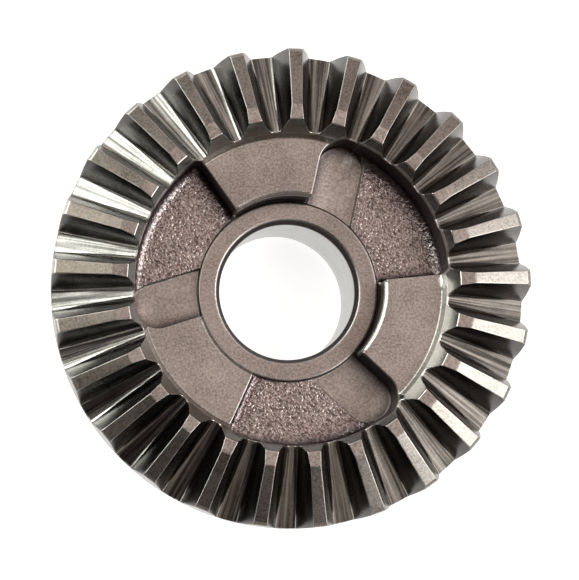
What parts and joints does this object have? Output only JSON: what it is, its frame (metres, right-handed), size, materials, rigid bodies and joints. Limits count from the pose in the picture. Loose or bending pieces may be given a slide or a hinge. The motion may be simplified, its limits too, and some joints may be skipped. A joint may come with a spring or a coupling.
{
  "type": "straight bevel dog gear with hub bearing",
  "caption": "Straight-tooth bevel gear with clutch dogs and a bushed bore, whose hub turns in a tapered roller bearing.",
  "frame": {"origin": "on the gear's axis, at the back face of the bearing's outer ring, which the part stands on", "axes": "+Z along the gear's axis, out of its toothed face; +X and +Y are square to the axis, and the drive face of one dog lies 77.5 degrees from +X towards +Y"},
  "size_m": [0.0899, 0.0899, 0.0343],
  "materials": {
    "gear_steel": "satin forged and ground steel, brownish",
    "bush_metal": "fine bored, pale grey",
    "ring_steel": "ground, bright",
    "roller_steel": "superfinished",
    "cage_steel": "pressed sheet, dull"
  },
  "bodies": {
    "outer_ring": {"outer_ring": "ring_steel"},
    "gear": {"bevel_gear": "gear_steel", "bore_bush": "bush_metal", "inner_ring": "ring_steel"},
    "cage": {"roller_cage": "cage_steel"},
    "roller_01": {"roller_01": "roller_steel"},
    "roller_02": {"roller_02": "roller_steel"},
    "roller_03": {"roller_03": "roller_steel"},
    "roller_04": {"roller_04": "roller_steel"},
    "roller_05": {"roller_05": "roller_steel"},
    "roller_06": {"roller_06": "roller_steel"},
    "roller_07": {"roller_07": "roller_steel"},
    "roller_08": {"roller_08": "roller_steel"},
    "roller_09": {"roller_09": "roller_steel"},
    "roller_10": {"roller_10": "roller_steel"},
    "roller_11": {"roller_11": "roller_steel"},
    "roller_12": {"roller_12": "roller_steel"},
    "roller_13": {"roller_13": "roller_steel"},
    "roller_14": {"roller_14": "roller_steel"},
    "roller_15": {"roller_15": "roller_steel"},
    "roller_16": {"roller_16": "roller_steel"},
    "roller_17": {"roller_17": "roller_steel"},
    "roller_18": {"roller_18": "roller_steel"},
    "roller_19": {"roller_19": "roller_steel"},
    "roller_20": {"roller_20": "roller_steel"}
  },
  "joints": [
    {"name": "gear_spin", "type": "hinge", "parent": "outer_ring", "child": "gear", "pos_m": [0, 0, 0], "axis": [0, 0, 1], "continuous": true},
    {"name": "cage_spin", "type": "hinge", "parent": "outer_ring", "child": "cage", "pos_m": [0, 0, 0.0069], "axis": [0, 0, 1], "continuous": true},
    {"name": "roller_01_spin", "type": "hinge", "parent": "cage", "child": "roller_01", "pos_m": [0.0225, 0, 0.0069], "axis": [0.1736, 0, 0.9848], "continuous": true},
    {"name": "roller_02_spin", "type": "hinge", "parent": "cage", "child": "roller_02", "pos_m": [0.0214, 0.00695, 0.0069], "axis": [0.1651, 0.0537, 0.9848], "continuous": true},
    {"name": "roller_03_spin", "type": "hinge", "parent": "cage", "child": "roller_03", "pos_m": [0.0182, 0.01323, 0.0069], "axis": [0.1405, 0.1021, 0.9848], "continuous": true},
    {"name": "roller_04_spin", "type": "hinge", "parent": "cage", "child": "roller_04", "pos_m": [0.01323, 0.0182, 0.0069], "axis": [0.1021, 0.1405, 0.9848], "continuous": true},
    {"name": "roller_05_spin", "type": "hinge", "parent": "cage", "child": "roller_05", "pos_m": [0.00695, 0.0214, 0.0069], "axis": [0.0537, 0.1651, 0.9848], "continuous": true},
    {"name": "roller_06_spin", "type": "hinge", "parent": "cage", "child": "roller_06", "pos_m": [0, 0.0225, 0.0069], "axis": [0, 0.1736, 0.9848], "continuous": true},
    {"name": "roller_07_spin", "type": "hinge", "parent": "cage", "child": "roller_07", "pos_m": [-0.00695, 0.0214, 0.0069], "axis": [-0.0537, 0.1651, 0.9848], "continuous": true},
    {"name": "roller_08_spin", "type": "hinge", "parent": "cage", "child": "roller_08", "pos_m": [-0.01323, 0.0182, 0.0069], "axis": [-0.1021, 0.1405, 0.9848], "continuous": true},
    {"name": "roller_09_spin", "type": "hinge", "parent": "cage", "child": "roller_09", "pos_m": [-0.0182, 0.01323, 0.0069], "axis": [-0.1405, 0.1021, 0.9848], "continuous": true},
    {"name": "roller_10_spin", "type": "hinge", "parent": "cage", "child": "roller_10", "pos_m": [-0.0214, 0.00695, 0.0069], "axis": [-0.1651, 0.0537, 0.9848], "continuous": true},
    {"name": "roller_11_spin", "type": "hinge", "parent": "cage", "child": "roller_11", "pos_m": [-0.0225, 0, 0.0069], "axis": [-0.1736, 0, 0.9848], "continuous": true},
    {"name": "roller_12_spin", "type": "hinge", "parent": "cage", "child": "roller_12", "pos_m": [-0.0214, -0.00695, 0.0069], "axis": [-0.1651, -0.0537, 0.9848], "continuous": true},
    {"name": "roller_13_spin", "type": "hinge", "parent": "cage", "child": "roller_13", "pos_m": [-0.0182, -0.01323, 0.0069], "axis": [-0.1405, -0.1021, 0.9848], "continuous": true},
    {"name": "roller_14_spin", "type": "hinge", "parent": "cage", "child": "roller_14", "pos_m": [-0.01323, -0.0182, 0.0069], "axis": [-0.1021, -0.1405, 0.9848], "continuous": true},
    {"name": "roller_15_spin", "type": "hinge", "parent": "cage", "child": "roller_15", "pos_m": [-0.00695, -0.0214, 0.0069], "axis": [-0.0537, -0.1651, 0.9848], "continuous": true},
    {"name": "roller_16_spin", "type": "hinge", "parent": "cage", "child": "roller_16", "pos_m": [0, -0.0225, 0.0069], "axis": [0, -0.1736, 0.9848], "continuous": true},
    {"name": "roller_17_spin", "type": "hinge", "parent": "cage", "child": "roller_17", "pos_m": [0.00695, -0.0214, 0.0069], "axis": [0.0537, -0.1651, 0.9848], "continuous": true},
    {"name": "roller_18_spin", "type": "hinge", "parent": "cage", "child": "roller_18", "pos_m": [0.01323, -0.0182, 0.0069], "axis": [0.1021, -0.1405, 0.9848], "continuous": true},
    {"name": "roller_19_spin", "type": "hinge", "parent": "cage", "child": "roller_19", "pos_m": [0.0182, -0.01323, 0.0069], "axis": [0.1405, -0.1021, 0.9848], "continuous": true},
    {"name": "roller_20_spin", "type": "hinge", "parent": "cage", "child": "roller_20", "pos_m": [0.0214, -0.00695, 0.0069], "axis": [0.1651, -0.0537, 0.9848], "continuous": true}
  ],
  "couplings": [
    {"joint": "cage_spin", "follows": "gear_spin", "ratio": 0.4453},
    {"joint": "roller_01_spin", "follows": "gear_spin", "ratio": -4.4461},
    {"joint": "roller_02_spin", "follows": "gear_spin", "ratio": -4.4461},
    {"joint": "roller_03_spin", "follows": "gear_spin", "ratio": -4.4461},
    {"joint": "roller_04_spin", "follows": "gear_spin", "ratio": -4.4461},
    {"joint": "roller_05_spin", "follows": "gear_spin", "ratio": -4.4461},
    {"joint": "roller_06_spin", "follows": "gear_spin", "ratio": -4.4461},
    {"joint": "roller_07_spin", "follows": "gear_spin", "ratio": -4.4461},
    {"joint": "roller_08_spin", "follows": "gear_spin", "ratio": -4.4461},
    {"joint": "roller_09_spin", "follows": "gear_spin", "ratio": -4.4461},
    {"joint": "roller_10_spin", "follows": "gear_spin", "ratio": -4.4461},
    {"joint": "roller_11_spin", "follows": "gear_spin", "ratio": -4.4461},
    {"joint": "roller_12_spin", "follows": "gear_spin", "ratio": -4.4461},
    {"joint": "roller_13_spin", "follows": "gear_spin", "ratio": -4.4461},
    {"joint": "roller_14_spin", "follows": "gear_spin", "ratio": -4.4461},
    {"joint": "roller_15_spin", "follows": "gear_spin", "ratio": -4.4461},
    {"joint": "roller_16_spin", "follows": "gear_spin", "ratio": -4.4461},
    {"joint": "roller_17_spin", "follows": "gear_spin", "ratio": -4.4461},
    {"joint": "roller_18_spin", "follows": "gear_spin", "ratio": -4.4461},
    {"joint": "roller_19_spin", "follows": "gear_spin", "ratio": -4.4461},
    {"joint": "roller_20_spin", "follows": "gear_spin", "ratio": -4.4461}
  ]
}
